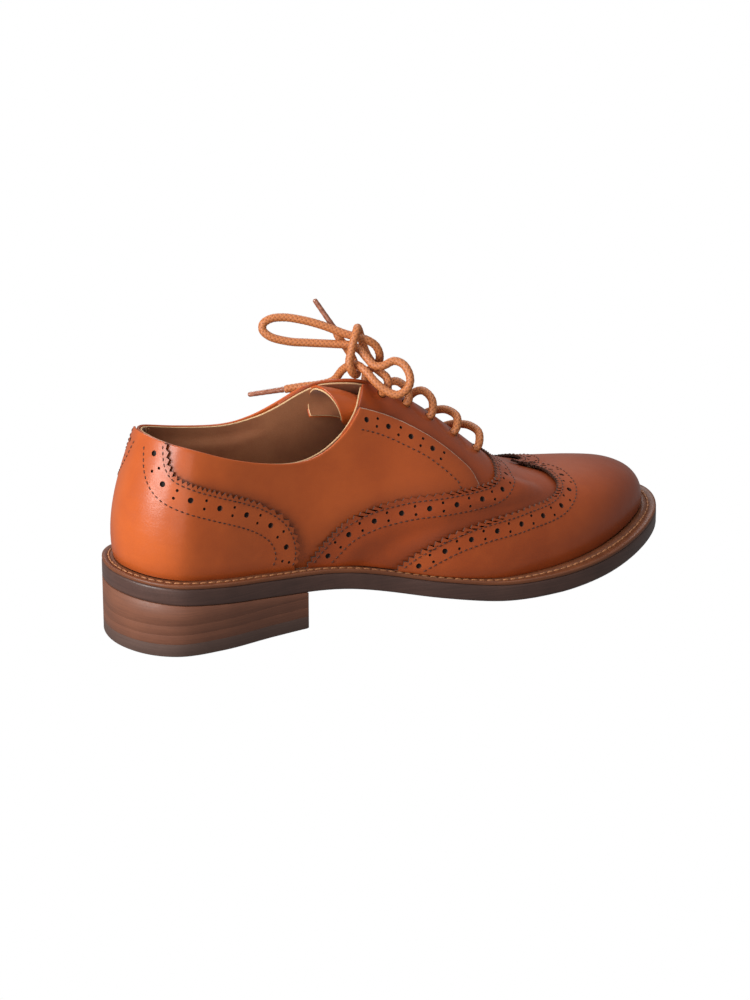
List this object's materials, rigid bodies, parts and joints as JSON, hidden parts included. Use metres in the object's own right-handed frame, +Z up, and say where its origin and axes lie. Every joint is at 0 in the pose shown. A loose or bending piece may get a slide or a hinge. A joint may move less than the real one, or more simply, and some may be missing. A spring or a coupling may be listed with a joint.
{
  "type": "leather oxford shoe",
  "caption": "Laced leather oxford shoe for the right foot, wing-tip brogue with a stacked heel, sewn welt, leather lining, hinged tongue and a tied bow.",
  "frame": {"origin": "centre of the shoe's plan, on the ground under the sole", "axes": "+X from heel to toe, +Y to the inner side of the foot, +Z up"},
  "size_m": [0.2701, 0.0913, 0.1266],
  "materials": {
    "upper_leather": "aniline calf, tan-orange, semi-gloss, pinked edges with stitch rows and punched holes",
    "burnished_leather": "the same calf burnished to red-brown towards the toe, semi-gloss",
    "lining": "vegetable-tanned lining leather, beige tan, matt",
    "outsole": "dark brown sole leather, inked and waxed edge",
    "heel_stack": "stacked leather lifts, mid brown, waxed",
    "top_piece": "dull brown heel rubber",
    "welt": "tan welt leather, waxed",
    "welt_thread": "waxed linen thread, light tan",
    "steel": "plain steel",
    "cork": "cork filler",
    "board": "leatherboard, matt",
    "lace": "waxed round braided cotton, rust brown",
    "aglet": "clear brown plastic film over the lace's tip"
  },
  "bodies": {
    "shoe": {"outsole": "outsole", "heel_seat_lift": "heel_stack", "heel_lift_upper": "heel_stack", "heel_lift_lower": "heel_stack", "heel_top_piece": "top_piece", "heel_nail_1": "steel", "heel_nail_2": "steel", "heel_nail_3": "steel", "heel_nail_4": "steel", "welt": "welt", "welt_thread": "welt_thread", "shank": "steel", "bottom_filler": "cork", "insole_board": "board", "sock_liner": "lining", "toe_cap": "burnished_leather", "vamp": "burnished_leather", "quarter_outer": "upper_leather", "quarter_inner": "upper_leather", "heel_foxing": "upper_leather", "facing_outer": "burnished_leather", "facing_inner": "burnished_leather", "vamp_lining": "lining", "quarter_lining_outer": "lining", "quarter_lining_inner": "lining", "heel_grip_lining": "lining", "toe_puff": "board", "heel_counter": "board", "lace_run": "lace", "lace_end_outer": "lace", "lace_end_inner": "lace", "aglet_outer": "aglet", "aglet_inner": "aglet"},
    "tongue": {"tongue": "burnished_leather", "tongue_lining": "lining"}
  },
  "joints": [
    {"name": "tongue_hinge", "type": "hinge", "parent": "shoe", "child": "tongue", "pos_m": [0.046, 0.002, 0.041], "axis": [0, -1, 0], "range_deg": [0, 12]}
  ]
}
